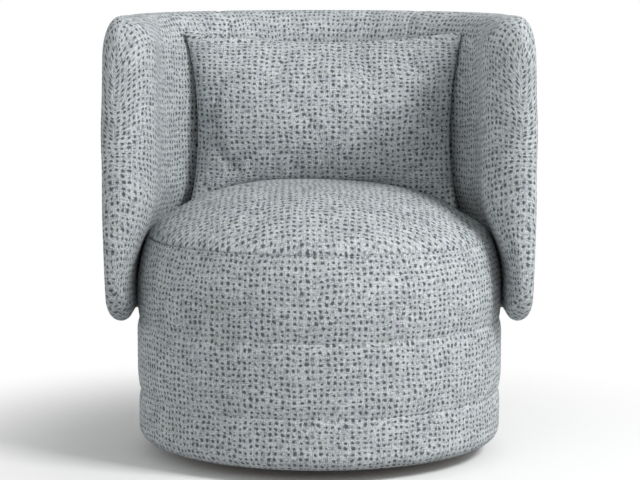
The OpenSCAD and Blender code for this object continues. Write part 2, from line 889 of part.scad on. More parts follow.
module turntable_plate() {
    color("dimgray")
        on_axis() {
            difference() {
                translate([-turntable_w / 2, -turntable_d / 2, turntable_z])
                    cube([turntable_w, turntable_d, plate_t]);
                translate([0, 0, turntable_z - cut])
                    cylinder(r = bolt_r + running_clearance, h = plate_t + 2 * cut);
            }
            ear(ear_x, turntable_top, shaft_r);
            ear(-ear_x - ear_t, turntable_top, shaft_r);
        }
}

module rock_shaft() {
    color("silver") on_axis() on_shaft(-shaft_len / 2, shaft_len / 2, shaft_r, 0);
}

module shaft_clips() {
    clip_x = rocker_ear_x + ear_t + clip_play;
    color("silver")
        on_axis() {
            on_shaft(clip_x, clip_x + clip_t, shaft_r + clip_w, shaft_r);
            on_shaft(-clip_x - clip_t, -clip_x, shaft_r + clip_w, shaft_r);
        }
}

module spring_pair(side) {
    color("silver")
        on_axis()
            for (sx = [-1, 1])
                translate([sx * spring_x, side * spring_y, 0]) coil_spring();
}

module front_springs() {
    spring_pair(-1);
}

module rear_springs() {
    spring_pair(1);
}

// Spring seat with its boss, on a face at height z, upwards or downwards
module spring_seat(z, up) {
    boss_r = coil_r - wire_r - cut;
    translate([0, 0, z])
        mirror([0, 0, up ? 0 : 1]) {
            cylinder(r = seat_cup_r, h = seat_cup_t, $fn = 48);
            cylinder(r = boss_r, h = seat_cup_t + seat_boss_h, $fn = 48);
        }
}

module lower_spring_seats() {
    color("dimgray") on_axis() four_corners(spring_x, spring_y) spring_seat(turntable_top, true);
}

module rock_buffers() {
    color("black")
        on_axis()
            four_corners(buffer_x, buffer_y)
                translate([0, 0, turntable_top]) cylinder(r = buffer_r, h = buffer_h, $fn = 48);
}

// Rocker

module rocker_plate() {
    color("dimgray")
        on_axis() {
            difference() {
                translate([-rocker_w / 2, -rocker_d / 2, rocker_z])
                    cube([rocker_w, rocker_d, plate_t]);
                four_corners(mount_bolt_x, mount_bolt_y)
                    translate([0, 0, rocker_z - cut]) cylinder(r = mount_bolt_r, h = plate_t + 2 * cut);
            }
            ear(rocker_ear_x, rocker_z, bush_r);
            ear(-rocker_ear_x - ear_t, rocker_z, bush_r);
        }
}

module rocker_bushes() {
    bore = shaft_r + running_clearance;
    flange_x = ear_x + ear_t + running_clearance;
    color("white")
        on_axis()
            for (side = [0, 1])
                mirror([side, 0, 0]) {
                    on_shaft(rocker_ear_x, rocker_ear_x + ear_t, bush_r, bore);
                    on_shaft(flange_x, rocker_ear_x, bush_flange_r, bore);
                }
}

module upper_spring_seats() {
    color("dimgray") on_axis() four_corners(spring_x, spring_y) spring_seat(rocker_z, false);
}

module mount_bolts() {
    color("silver")
        on_axis()
            four_corners(mount_bolt_x, mount_bolt_y) {
                hexagon(mount_head_r, rocker_z - mount_head_h, rocker_z);
                translate([0, 0, rocker_z]) cylinder(r = mount_bolt_r, h = plate_t + ply_t);
            }
}

module mount_nuts() {
    color("silver")
        on_axis()
            four_corners(mount_bolt_x, mount_bolt_y) {
                flat_ring(mount_bolt_r, tnut_barrel_r, mount_z + ply_t - tnut_len, mount_z + ply_t);
                flat_ring(mount_bolt_r, tnut_r, mount_z + ply_t, mount_z + ply_t + tnut_t);
            }
}

// Drum frame

module mount_board() {
    color("burlywood")
        on_axis()
            difference() {
                flat_ring(access_r, frame_r, mount_z, mount_z + ply_t);
                four_corners(mount_bolt_x, mount_bolt_y)
                    translate([0, 0, mount_z - cut]) cylinder(r = tnut_barrel_r, h = ply_t + 2 * cut);
            }
}

module drum_bottom_ring() {
    color("burlywood") on_axis() flat_ring(frame_r - ring_w, frame_r, bottom_ring_z, bottom_ring_z + ply_t);
}

module lower_posts() {
    color("tan") on_axis() posts(bottom_ring_z + ply_t, mount_z);
}

module lower_wall() {
    color("wheat") on_axis() flat_ring(frame_r - wall_t, frame_r, bottom_ring_z + ply_t, mount_z);
}

module middle_posts() {
    color("tan") on_axis() posts(mount_z + ply_t, mid_ring_z);
}

module middle_wall() {
    color("wheat") on_axis() flat_ring(frame_r - wall_t, frame_r, mount_z + ply_t, mid_ring_z);
}

module drum_mid_ring() {
    color("burlywood")
        on_axis()
            difference() {
                union() {
                    flat_ring(frame_r - ring_w, frame_r, mid_ring_z, mid_ring_z + ply_t);
                    back_arc(frame_r - cut, lower_shelf_r, mid_ring_z, mid_ring_z + ply_t, shelf_angle);
                }
                at_screws(foot_screw_r, mid_ring_z) foot_screw(0);
            }
}

module upper_posts() {
    color("tan") on_axis() posts(mid_ring_z + ply_t, top_ring_z);
}

module upper_wall() {
    color("wheat") on_axis() flat_ring(frame_r - wall_t, frame_r, mid_ring_z + ply_t, top_ring_z);
}

module drum_top_ring() {
    color("burlywood")
        on_axis()
            difference() {
                union() {
                    flat_ring(frame_r - ring_w, frame_r, top_ring_z, deck_z);
                    back_arc(frame_r - cut, board_in_r, top_ring_z, deck_z, shelf_angle);
                }
                at_screws(board_in_r + board_t, top_ring_z + ply_t / 2) side_screw(0);
            }
}

// Seat

module straps(z) {
    intersection() {
        for (i = [0:strap_count - 1])
            translate([(i - (strap_count - 1) / 2) * strap_pitch - strap_w / 2, -strap_reach, z])
                cube([strap_w, 2 * strap_reach, strap_t]);
        translate([0, 0, z - cut]) cylinder(r = strap_reach, h = strap_t + 2 * cut, $fn = 180);
    }
}

module webbing_lengthwise() {
    color("black") on_axis() straps(deck_z);
}

module webbing_crosswise() {
    color("black") on_axis() rotate([0, 0, 90]) straps(deck_z + strap_t);
}

module seat_foam() {
    under_cover = dome_outline(cover_t);
    color("lightyellow")
        on_axis()
            rotate_extrude($fn = 180)
                polygon(concat(
                    [[0, foam_z], [seat_foam_r, foam_z], [seat_foam_r, lookup(seat_foam_r, under_cover)]],
                    [for (p = under_cover) if (p[0] < seat_foam_r) p]
                ));
}

module seat_cover() {
    color("lightgray")
        on_axis()
            rotate_extrude($fn = 180)
                polygon(concat(dome_outline(0), backwards(dome_outline(cover_t))));
}

// Bands

module seat_band_foam() {
    color("lightyellow")
        on_axis()
            difference() {
                rotate_extrude($fn = 180)
                    polygon(concat(
                        [[frame_r, groove_1_z]],
                        seat_outline(cover_t),
                        [[seat_foam_r, seam_z - cover_t], [seat_foam_r, foam_z], [frame_r, foam_z]]
                    ));
                shelves();
            }
}

module seat_band_cover() {
    color("lightgray")
        on_axis()
            difference() {
                rotate_extrude($fn = 180)
                    polygon(concat(seat_outline(0), backwards(seat_outline(cover_t))));
                shelves();
            }
}

module middle_band_foam() {
    color("lightyellow")
        on_axis()
            rotate_extrude($fn = 180)
                polygon(concat([[frame_r, groove_2_z]], middle_outline(cover_t), [[frame_r, groove_1_z]]));
}

module middle_band_cover() {
    color("lightgray")
        on_axis()
            rotate_extrude($fn = 180)
                polygon(concat(middle_outline(0), backwards(middle_outline(cover_t))));
}

module bottom_band_foam() {
    foam_in_r = bottom_band_r - bottom_round - turn_under / 2;
    color("lightyellow")
        on_axis()
            rotate_extrude($fn = 180)
                polygon(concat(
                    [[foam_in_r, bottom_ring_z], [foam_in_r, drum_z + cover_t]],
                    bottom_outline(cover_t),
                    [[frame_r, groove_2_z], [frame_r, bottom_ring_z]]
                ));
}

module bottom_band_cover() {
    edge_r = bottom_band_r - bottom_round - turn_under;
    color("lightgray")
        on_axis()
            rotate_extrude($fn = 180)
                polygon(concat(
                    [[edge_r, drum_z + cover_t], [edge_r, drum_z]],
                    bottom_outline(0),
                    backwards(bottom_outline(cover_t))
                ));
}

// Back

module back_board() {
    color("burlywood")
        on_axis()
            difference() {
                bent_board(0);
                at_screws(foot_screw_r, mid_ring_z) foot_screw(0);
                at_screws(board_in_r + board_t, top_ring_z + ply_t / 2) side_screw(0);
            }
}

module board_foot_screws() {
    color("silver") on_axis() at_screws(foot_screw_r, mid_ring_z) foot_screw(0);
}

module board_side_screws() {
    color("silver") on_axis() at_screws(board_in_r + board_t, top_ring_z + ply_t / 2) side_screw(0);
}

module back_pad() {
    color("gainsboro")
        on_axis()
            difference() {
                rotate([0, 0, 90 - panel_angle])
                    rotate_extrude(angle = 2 * panel_angle, $fn = 180) polygon(back_section);
                pad_space();
            }
}

module right_wing_form() {
    difference() {
        union() {
            rotate_extrude(angle = 90 - panel_angle, $fn = 180) polygon(back_section);
            swept_panel(front_loops());
        }
        pad_space();
    }
}

module left_wing_pad() {
    color("lightgray") on_axis() mirror([1, 0, 0]) right_wing_form();
}

module right_wing_pad() {
    color("lightgray") on_axis() right_wing_form();
}

module back_pillow() {
    color("gainsboro") on_axis() pillow_form();
}

floor_glides();
base_ring();
base_cross();
hub_plate();
lower_race();
swivel_bolt();
swivel_washer();
swivel_nut();
race_balls();
ball_cage();
upper_race();
turntable_plate();
rock_shaft();
shaft_clips();
front_springs();
rear_springs();
lower_spring_seats();
rock_buffers();
rocker_plate();
rocker_bushes();
upper_spring_seats();
mount_bolts();
mount_nuts();
mount_board();
drum_bottom_ring();
lower_posts();
lower_wall();
middle_posts();
middle_wall();
drum_mid_ring();
upper_posts();
upper_wall();
drum_top_ring();
webbing_lengthwise();
webbing_crosswise();
seat_foam();
seat_cover();
seat_band_foam();
seat_band_cover();
middle_band_foam();
middle_band_cover();
bottom_band_foam();
bottom_band_cover();
back_board();
board_foot_screws();
board_side_screws();
back_pad();
left_wing_pad();
right_wing_pad();
back_pillow();
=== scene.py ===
"""Looks of an upholstered barrel chair that swivels and rocks: cloth, padding, frame and springs."""

import json
import math

import bmesh
import bpy
import numpy as np
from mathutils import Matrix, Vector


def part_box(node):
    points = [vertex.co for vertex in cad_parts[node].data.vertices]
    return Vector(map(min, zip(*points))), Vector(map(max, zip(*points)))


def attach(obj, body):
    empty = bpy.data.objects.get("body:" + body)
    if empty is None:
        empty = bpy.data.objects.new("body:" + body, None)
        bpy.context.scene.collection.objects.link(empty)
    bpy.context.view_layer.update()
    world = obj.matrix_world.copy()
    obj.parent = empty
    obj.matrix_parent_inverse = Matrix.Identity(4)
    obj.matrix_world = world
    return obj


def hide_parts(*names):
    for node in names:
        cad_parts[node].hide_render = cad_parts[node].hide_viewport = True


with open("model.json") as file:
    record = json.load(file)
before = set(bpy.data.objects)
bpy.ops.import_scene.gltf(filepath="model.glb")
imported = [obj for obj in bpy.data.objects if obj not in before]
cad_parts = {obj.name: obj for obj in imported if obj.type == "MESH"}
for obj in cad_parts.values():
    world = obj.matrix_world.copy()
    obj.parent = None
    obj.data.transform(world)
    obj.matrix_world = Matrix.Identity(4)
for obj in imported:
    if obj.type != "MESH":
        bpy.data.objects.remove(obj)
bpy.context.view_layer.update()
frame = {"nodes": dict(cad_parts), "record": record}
MM = 0.001

# Sizes that the frame gives: the drum, its three bands, the seat and the padded back. The grooves sit a
# little lower than the solids' edges, because the cloth sags over them.

GROOVE_SAG = 2.5 * MM
low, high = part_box("middle_band_cover")
AXIS_Y = (low.y + high.y) / 2
DRUM_R = (high.x - low.x) / 2
GROOVE_LOW_Z, GROOVE_HIGH_Z = low.z - GROOVE_SAG, high.z - GROOVE_SAG
low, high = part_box("bottom_band_cover")
BOTTOM_R = (high.x - low.x) / 2
DRUM_Z = low.z
low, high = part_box("seat_cover")
SEAM_R = (high.x - low.x) / 2
CROWN_Z = high.z
SEAM_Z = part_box("seat_band_cover")[1].z
low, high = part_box("right_wing_pad")
BACK_OUT_R = high.x
BACK_Z, BACK_TOP_Z = low.z, high.z
WING_REACH = AXIS_Y - low.y
low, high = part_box("back_pillow")
PILLOW_W = high.x - low.x
PILLOW_TOP_Z = high.z
WALL_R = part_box("middle_wall")[1].x
RING_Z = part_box("drum_bottom_ring")[0].z
DECK_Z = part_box("drum_top_ring")[1].z

# The bands: radius at each groove, its narrow tuck, and how far below and above it the cloth is drawn in

GROOVE_LOW_R = DRUM_R - 5.6 * MM
GROOVE_HIGH_R = DRUM_R - 4.2 * MM
GROOVE_TUCK = 0.8 * MM
GROOVE_BELOW = 28 * MM
GROOVE_ABOVE = 46 * MM
TURN_UNDER = 25 * MM
BOTTOM_ROUND = 28 * MM

# The seat: the band's shoulder, the seam with its lip and tuck, the dome, and how evenly its rings are spread

SHOULDER_H, SHOULDER_POWER = 103 * MM, 2.2
SEAM_LIP = 1.2 * MM
SEAM_TUCK, SEAM_TUCK_W = 4.5 * MM, 2.5 * MM
DOME_POWER, DOME_EDGE_POWER = 3.1, 0.8
DOME_LOPSIDED = 7 * MM
EVEN_RINGS = 0.15

# How far the drum's cloth wavers, and the wavelength: slow lumps, and puckers close to grooves and seam

BAND_LUMP, BAND_LUMP_WAVE = 0.5 * MM, 160 * MM
BAND_PUCKER, BAND_PUCKER_WAVE, BAND_PUCKER_H = 0.8 * MM, 45 * MM, 22 * MM
SEAT_LUMP, SEAT_LUMP_WAVE = 1.2 * MM, 190 * MM
SEAT_PUCKER, SEAT_PUCKER_WAVE, SEAT_PUCKER_W = 0.7 * MM, 50 * MM, 50 * MM

# The padded back: its section, its rounded corners and noses, the seams between its panels, and how the
# weave's rows climb along a wing

BACK_IN_R = 297 * MM
PANEL_ANGLE = math.radians(34.9)
PANEL_SEAM_DRAW, PANEL_SEAM_W = 2.2 * MM, 7 * MM
BACK_LUMP, BACK_LUMP_WAVE = 0.9 * MM, 170 * MM
FOOT_IN_R = DRUM_R + 1 * MM
LEAN_LOW_Z = BACK_Z + 77 * MM
LEAN_HIGH_Z = BACK_Z + 247 * MM
WAIST_Z = BACK_Z + 290 * MM
BARREL_SAG = 7 * MM
NOSE_TIP_IN = 29 * MM
NOSE_IN_LEN, NOSE_IN_POWER = 95 * MM, 2
NOSE_OUT_LEN, NOSE_OUT_POWER = 40 * MM, 2.8
TOP_ROLL_H = 60 * MM
BOTTOM_ROLL_H = 26 * MM
TOP_CORNER_R = 58 * MM
BOTTOM_CORNER_R = 88 * MM
ROW_RISE, ROW_RISE_FROM = 50 * MM, math.radians(60)
ROW_LEVEL_H = 300 * MM

# The loose pillow: half its width between corners, how far its edges draw in, how far its rim bows back,
# the reach of its front and rear, and its distance from the back and the seat

PILLOW_HALF_W = PILLOW_W / 2 + 4 * MM
PILLOW_H = 326 * MM
PILLOW_SHIFT = 8 * MM
PILLOW_PEAK = 4 * MM
PILLOW_TOP_IN = 24 * MM
PILLOW_SIDE_IN = 21 * MM
PILLOW_FOOT_IN = 11 * MM
PILLOW_BOW, PILLOW_TOP_BOW = 26 * MM, 90 * MM
PILLOW_SIDE_BACK = 30 * MM
PILLOW_LEAN = 9 * MM
PILLOW_FRONT, PILLOW_FRONT_POWER = 66 * MM, 0.55
PILLOW_REAR, PILLOW_REAR_POWER = 175 * MM, 0.4
PILLOW_SAG = 0.08
PILLOW_HELD = 0.3
PILLOW_GAP = 1 * MM
BACK_CLEAR = 5 * MM
LEFT_CORNER_X, RIGHT_CORNER_X = PILLOW_SHIFT - PILLOW_HALF_W, PILLOW_SHIFT + PILLOW_HALF_W
LEFT_CORNER_Y = math.sqrt((BACK_IN_R - BACK_CLEAR) ** 2 - LEFT_CORNER_X**2)
RIGHT_CORNER_Y = math.sqrt((BACK_IN_R - BACK_CLEAR) ** 2 - RIGHT_CORNER_X**2)


def smooth_step(edge0, edge1, x):
    """0 below edge0, 1 above edge1, and 3t^2 - 2t^3 of the share t between them."""
    t = np.clip((x - edge0) / (edge1 - edge0), 0, 1)
    return t * t * (3 - 2 * t)


def bell(x, width):
    """A hump of height 1 at x = 0 that falls off as exp(-(x / width)^2)."""
    return np.exp(-((x / width) ** 2))


def soft_noise(x, y, seed, wave):
    """Smooth noise of about -1 to 1: twice the mean of 9 sine waves of about one wavelength, whose directions
    and phases come from the seed."""
    waves = 9
    rng = np.random.default_rng(seed)
    total = 0
    for _ in range(waves):
        angle, phase = rng.uniform(0, 2 * math.pi, 2)
        k = 2 * math.pi / wave * rng.uniform(0.6, 1.7)
        total = total + np.sin(k * (x * math.cos(angle) + y * math.sin(angle)) + phase)
    return total * 2 / waves


def merge_doubles(mesh):
    """Points of a mesh that lie in one place become one, and faces without area go."""
    shape = bmesh.new()
    shape.from_mesh(mesh)
    bmesh.ops.remove_doubles(shape, verts=shape.verts, dist=1e-6)
    shape.to_mesh(mesh)
    shape.free()


def grid_piece(name, points, cloth, wrap=False, closed_ends=False, capped=False, held=None):
    """A smooth mesh through a grid of points (rows, columns, 3), with cloth (rows, columns, 2) as its UV map.
    With wrap the last column joins the first, and cloth has one more column than points.
    With closed_ends the first and last rows are closed by a fan to their mean point.
    With capped the last row joins the first, and points in one place become one.
    held (rows, columns) says how firmly each point stays when the piece is filled with air."""
    if capped:
        points, cloth = np.concatenate([points, points[:1]]), np.concatenate([cloth, cloth[-1:]])
    rows, columns = points.shape[:2]
    index = np.arange(rows * columns).reshape(rows, columns)
    right = np.roll(index, -1, axis=1) if wrap else index[:, 1:]
    left = index if wrap else index[:, :-1]
    quads = np.stack([left[:-1], right[:-1], right[1:], left[1:]], axis=-1).reshape(-1, 4)
    a, b = cloth[:, :-1], cloth[:, 1:]
    corners = np.stack([a[:-1], b[:-1], b[1:], a[1:]], axis=2).reshape(-1, 2)
    vertices = points.reshape(-1, 3)
    faces = [tuple(q) for q in quads.tolist()]
    maps = [corners]
    if closed_ends:
        for ring, turned in ((0, True), (rows - 1, False)):
            middle = len(vertices)
            vertices = np.vstack([vertices, points[ring].mean(0)])
            edge = np.stack([left[ring], right[ring]], axis=-1)
            if turned:
                edge = edge[:, ::-1]
            faces += [(p, q, middle) for p, q in edge.tolist()]
            centre = cloth[ring].mean(0)
            ends = (b[ring], a[ring]) if turned else (a[ring], b[ring])
            fan = np.stack([*ends, np.broadcast_to(centre, a[ring].shape)], axis=1)
            maps.append(fan.reshape(-1, 2))
    mesh = bpy.data.meshes.new(name)
    mesh.from_pydata(vertices.tolist(), [], faces)
    layer = mesh.uv_layers.new(name="cloth")
    layer.data.foreach_set("uv", np.vstack(maps).astype(np.float32).ravel())
    if held is not None:
        firmness = mesh.attributes.new("held", "FLOAT", "POINT")
        firmness.data.foreach_set("value", np.vstack([held, held[:1]]).astype(np.float32).ravel())
    if capped:
        merge_doubles(mesh)
    mesh.polygons.foreach_set("use_smooth", np.ones(len(mesh.polygons), bool))
    mesh.update()
    piece = bpy.data.objects.new(name, mesh)
    bpy.context.scene.collection.objects.link(piece)
    return piece


def arc_length(points, axis=0):
    """Distance along each row or column of points, from 0 at its start: the sum of the steps between them."""
    steps = np.linalg.norm(np.diff(points, axis=axis), axis=-1)
    start = np.zeros_like(np.take(steps, [0], axis=axis))
    return np.concatenate([start, np.cumsum(steps, axis=axis)], axis=axis)


# Drum: bands and seat


def band_piece(name, outline, back, pucker_at, turns=360):
    """A band of the drum: its outline (n, 2) of radius and height, turned round the swivel axis and closed
    along the points of its back. The radius varies by slow lumps, and close to each height in pucker_at by
    quicker ones, as cloth does where it is tucked in. The cloth's rows run on from band to band."""
    angle = np.linspace(0, 2 * math.pi, turns, endpoint=False)
    radius = np.repeat(outline[:, :1], turns, axis=1)
    height = np.repeat(outline[:, 1:], turns, axis=1)
    around = angle[None, :] * DRUM_R
    swell = BAND_LUMP * soft_noise(around, height, 5, BAND_LUMP_WAVE)
    for k, z in enumerate(pucker_at):
        pull = soft_noise(around, height * 0.25, 11 + k, BAND_PUCKER_WAVE)
        swell = swell + BAND_PUCKER * pull * bell(height - z, BAND_PUCKER_H)
    rows = np.arange(len(outline))
    from_edge = np.minimum(rows, rows[::-1])
    radius = radius + swell * smooth_step(0, 5, from_edge)[:, None]
    back = np.repeat(np.array(back)[:, :, None], turns, axis=2)
    radius, height = np.vstack([radius, back[:, 0]]), np.vstack([height, back[:, 1]])
    points = np.stack([radius * np.cos(angle), AXIS_Y + radius * np.sin(angle), height], axis=-1)
    along = arc_length(points[:, 0])
    groove_row = np.argmin(np.abs(outline[:, 1] - pucker_at[0]))
    along = along + pucker_at[0] - along[groove_row]
    u = np.linspace(0, 2 * math.pi * DRUM_R, turns + 1)
    cloth = np.stack(np.broadcast_arrays(u[None, :], along[:, None]), axis=-1)
    return grid_piece(name, points, cloth, wrap=True, capped=True)


def drawn_in(radius, z, edge_z, edge_r, width):
    """Radius of a band that curves in towards a groove: the square of the share of width from its end to the
    groove, and at the groove itself a small tuck, whose 12th power of the share keeps it narrow."""
    share = np.clip(1 - np.abs(z - edge_z) / width, 0, 1)
    return radius - (radius - edge_r) * share**2 - GROOVE_TUCK * share**12


def heights(z0, z1, count):
    """Heights from z0 to z1 that lie closer together at both ends."""
    return z0 + (z1 - z0) * (1 - np.cos(np.linspace(0, math.pi, count))) / 2


def middle_band():
    """Drawn in to a groove at its lower and its upper end."""
    z = heights(GROOVE_LOW_Z, GROOVE_HIGH_Z, 48)
    radius = drawn_in(DRUM_R + 0 * z, z, GROOVE_LOW_Z, GROOVE_LOW_R, GROOVE_ABOVE)
    radius = drawn_in(radius, z, GROOVE_HIGH_Z, GROOVE_HIGH_R, GROOVE_BELOW)
    outline = np.stack([radius, z], axis=1)
    back = [(WALL_R, GROOVE_HIGH_Z), (WALL_R, GROOVE_LOW_Z)]
    return band_piece("middle_band", outline, back, [GROOVE_LOW_Z, GROOVE_HIGH_Z])


def bottom_band():
    """Drawn in to the groove above, and below it a quarter circle that turns in under the drum."""
    a = np.linspace(-math.pi / 2, 0, 16)
    corner_r = BOTTOM_R - BOTTOM_ROUND * (1 - np.cos(a))
    corner = np.stack([corner_r, DRUM_Z + BOTTOM_ROUND * (1 + np.sin(a))], axis=1)
    z = heights(DRUM_Z + BOTTOM_ROUND, GROOVE_LOW_Z, 34)[1:]
    side = np.stack([drawn_in(BOTTOM_R + 0 * z, z, GROOVE_LOW_Z, GROOVE_LOW_R, GROOVE_BELOW), z], axis=1)
    end_r = corner_r[0] - TURN_UNDER
    under_r = np.linspace(end_r, corner_r[0], 6)[:-1]
    under = np.stack([under_r, DRUM_Z + 0 * under_r], axis=1)
    back = [(WALL_R, GROOVE_LOW_Z), (WALL_R, RING_Z), (end_r, RING_Z)]
    return band_piece("bottom_band", np.vstack([under, corner, side]), back, [GROOVE_LOW_Z])


def shoulder(z):
    """Radius of the seat band: full up to its shoulder, then drawn in to the seam by a power of the share of
    the way there."""
    u = np.clip((z - SEAM_Z + SHOULDER_H) / SHOULDER_H, 0, None)
    return DRUM_R - (DRUM_R - SEAM_R) * u**SHOULDER_POWER


def seat_band():
    """Straight side and drawn-in shoulder, whose upper edge rolls in to the seam."""
    z = heights(GROOVE_HIGH_Z, SEAM_Z, 72)
    radius = drawn_in(shoulder(z), z, GROOVE_HIGH_Z, GROOVE_HIGH_R, GROOVE_ABOVE)
    a = np.linspace(math.pi / 6, math.pi, 6)
    lip = SEAM_LIP * np.stack([np.cos(a) - 1, np.sin(a) - 1], axis=1) + [SEAM_R, SEAM_Z]
    outline = np.vstack([np.stack([radius, z], axis=1)[:-3], lip])
    inner_r = SEAM_R - SEAM_TUCK
    back = [(inner_r, SEAM_Z - 3 * SEAM_LIP), (inner_r, DECK_Z), (WALL_R, DECK_Z), (WALL_R, GROOVE_HIGH_Z)]
    return band_piece("seat_band", outline, back, [GROOVE_HIGH_Z])


def dome_height(x, y):
    """Height of the domed seat at x and y from the swivel axis: a crown whose edge drops in a soft curve,
    a little fuller at its left."""
    share = np.clip(np.hypot(x, y) / SEAM_R, 0, 1)
    lopsided = -DOME_LOPSIDED * x / SEAM_R * (1 - share**6)
    return SEAM_Z + (CROWN_Z - SEAM_Z) * (1 - share**DOME_POWER) ** DOME_EDGE_POWER + lopsided


def seat_top(turns=240, rings=72):
    """Domed seat panel: rings closer together near the seam, where the panel is drawn down into it, deepest
    at the left and least at the right."""
    t = np.linspace(0.01, math.pi / 2, rings)
    share = np.sin(t) * (1 - EVEN_RINGS) + (1 - np.cos(t)) * EVEN_RINGS
    rho = share[::-1, None] * SEAM_R
    angle = np.linspace(0, 2 * math.pi, turns, endpoint=False)[None, :]
    x, y = rho * np.cos(angle), rho * np.sin(angle)
    near_seam = bell(rho - SEAM_R, SEAT_PUCKER_W)
    z = dome_height(x, y) + SEAT_LUMP * soft_noise(x, y, 3, SEAT_LUMP_WAVE) * (1 - near_seam)
    pucker = soft_noise(angle * SEAM_R, rho * 0.2, 4, SEAT_PUCKER_WAVE)
    z = z + SEAT_PUCKER * pucker * near_seam * (1 - bell(rho - SEAM_R, 4 * MM))
    depth = SEAM_TUCK * (0.7 - 0.3 * np.cos(angle))
    drawn = 1 - depth / SEAM_R * bell(z - SEAM_Z, SEAM_TUCK_W)
    points = np.stack([x * drawn, AXIS_Y + y * drawn, z], axis=-1)
    skirt = points[:1] - [0, 0, 2 * SEAM_TUCK]
    points = np.concatenate([skirt, points])
    full_angle = np.linspace(0, 2 * math.pi, turns + 1)[None, :]
    reach = np.concatenate([rho[:1] + 2 * SEAM_TUCK, rho])
    cloth = np.stack([reach * np.cos(full_angle), reach * np.sin(full_angle)], axis=-1)
    return grid_piece("seat_top", points, cloth, wrap=True, closed_ends=True)


# Padded back


def back_out(z):
    """Radius of the back's outside at height z, widest at the waist."""
    return BACK_OUT_R - BARREL_SAG * ((z - WAIST_Z) / (WAIST_Z - BACK_Z)) ** 2


def back_in(z):
    """Radius of the back's inside at height z: clear of the drum below, drawn in over the seat above."""
    u = np.clip((z - LEAN_LOW_Z) / (LEAN_HIGH_Z - LEAN_LOW_Z), 0, 1)
    return FOOT_IN_R - (FOOT_IN_R - BACK_IN_R) * (1 - np.cos(math.pi * u)) / 2


def section_share(count=70):
    """Places up one side of the back's section, each with three values: its height as a share of its zone,
    the section's fullness there, and the zone, which is 0 for the lower roll, 1 for the side and 2 for the
    upper roll. The rolls are quarters of an ellipse."""
    a = np.linspace(math.pi / 2, 0, 14)
    low_roll = np.stack([1 - np.sin(a), np.cos(a), 0 * a], axis=1)
    side = np.linspace(0, 1, count)[1:-1]
    side = np.stack([side, 1 + 0 * side, 1 + 0 * side], axis=1)
    a = np.linspace(0, math.pi / 2, 18)
    high_roll = np.stack([np.sin(a), np.cos(a), 2 + 0 * a], axis=1)
    return np.vstack([low_roll, side, high_roll])


def back_side(z0, z1, full, lean, outside):
    """One side of the section from its foot to its crest, as radius and height (stations, levels). The side
    keeps the share full of its distance from the crest, which moves from the middle towards the nose's tip
    as lean goes from 0 to 1."""
    share, fullness, zone = section_share().T
    z0, z1, full, lean = (np.asarray(v, float)[:, None] for v in (z0, z1, full, lean))
    top_start = z1 - TOP_ROLL_H
    z = np.where(
        zone == 0,
        z0 + BOTTOM_ROLL_H * share,
        np.where(
            zone == 1,
            z0 + BOTTOM_ROLL_H + (top_start - z0 - BOTTOM_ROLL_H) * share,
            top_start + TOP_ROLL_H * share,
        ),
    )
    middle = (back_out(z) + back_in(z)) / 2
    crest = middle + lean * (np.maximum(middle, back_out(z) - NOSE_TIP_IN) - middle)
    face = back_out(z) if outside else back_in(z)
    return crest + (face - crest) * fullness * full, z


def corner_drop(s, r):
    """Drop of a rounded corner of radius r at distance s ahead of the axis, along a wing."""
    u = np.clip((s - WING_REACH + r) / r, 0, 1)
    return r * (1 - np.sqrt(1 - u * u))


def loosened(radius, z, along, along_seams, full, seed, outwards):
    """One side of the back with slow lumps in its padding, drawn in at the panel seams by a bell of the
    distance from them, and notched there at its crests."""
    level_full = section_share()[:, 1]
    lump = BACK_LUMP * soft_noise(along[:, None] + 0 * z, z, seed, BACK_LUMP_WAVE)
    tuck = PANEL_SEAM_DRAW * sum(bell(along - seam, PANEL_SEAM_W) for seam in along_seams)[:, None]
    radius = radius + outwards * (lump - tuck) * full[:, None] * level_full
    return radius, z - tuck * (1 - level_full) * np.sign(z - WAIST_Z)


def rounding(reach, length, power):
    """Share of the thickness that is left at a distance ahead of the axis, on the way to the nose: a quarter
    of a superellipse, (1 - u^power)^(1 / power) at share u of length."""
    u = np.clip((reach - WING_REACH + length) / length, 0, 1)
    return (1 - u**power) ** (1 / power)


def wing_path():
    """Stations from the panel seam to the nose, as the angle from the middle of the back and, where that has
    come to a quarter turn, the reach ahead of the axis. They crowd towards the nose's tip."""
    angle = np.linspace(PANEL_ANGLE, math.pi / 2, 60)
    straight = np.linspace(0, WING_REACH - NOSE_IN_LEN, 14)[1:]
    nose = WING_REACH - NOSE_IN_LEN * (1 - np.sin(np.linspace(0, math.pi / 2, 34)[1:]))
    reach = np.concatenate([0 * angle, straight, nose])
    angle = np.concatenate([angle, 0 * straight + math.pi / 2, 0 * nose + math.pi / 2])
    return angle, reach


